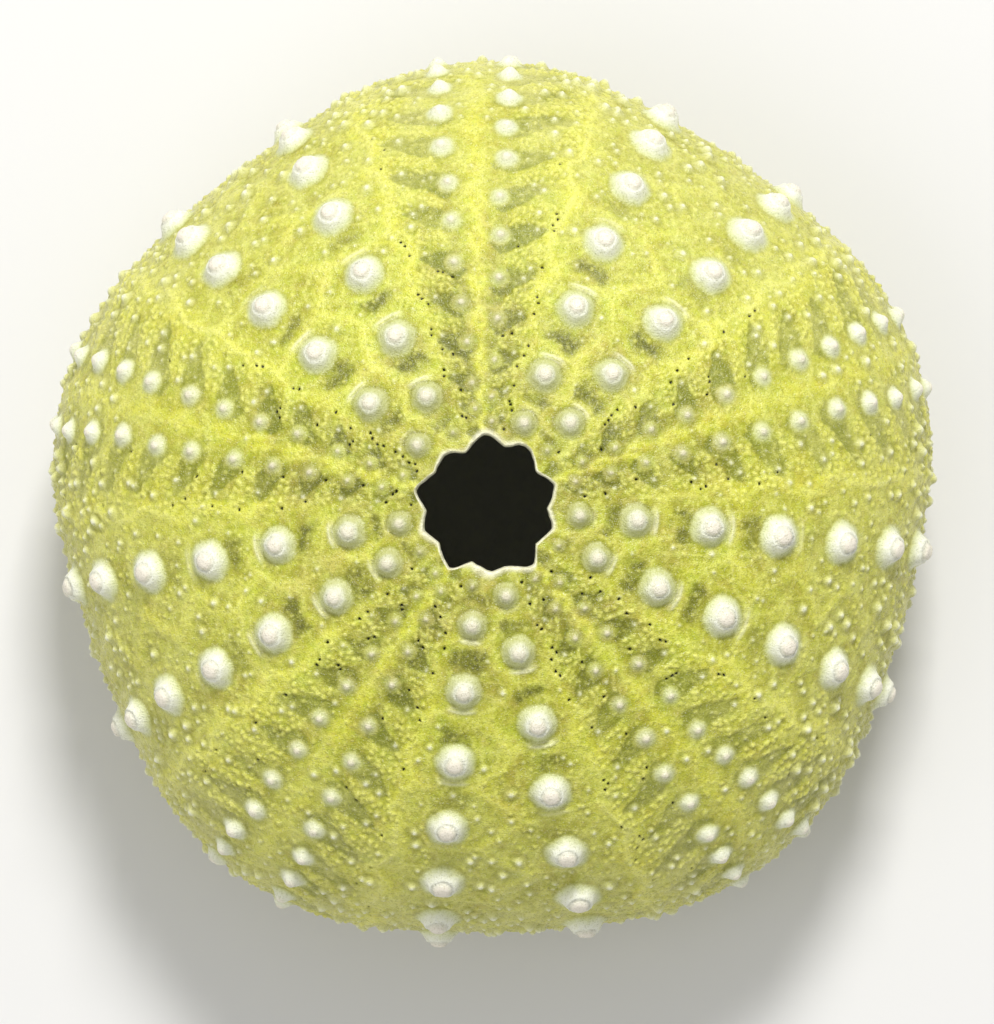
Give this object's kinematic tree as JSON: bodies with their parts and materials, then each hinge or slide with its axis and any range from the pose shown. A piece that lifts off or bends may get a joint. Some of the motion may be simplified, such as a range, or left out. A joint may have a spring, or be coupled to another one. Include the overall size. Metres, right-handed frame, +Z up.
{
  "type": "sea urchin shell",
  "caption": "bare hollow shell of a regular sea urchin, a flattened dome with rows of white knobs and an open hole at each pole",
  "frame": {"origin": "on the pole axis at the level the shell rests on", "axes": "+Z up through the upper hole, mouth side down; one ambulacrum lies 20.5 degrees from +X towards +Y and the others follow every 72 degrees"},
  "size_m": [0.051, 0.0513, 0.025],
  "materials": {
    "calcite": "satin"
  },
  "bodies": {
    "root": {"shell": "calcite"}
  },
  "joints": []
}
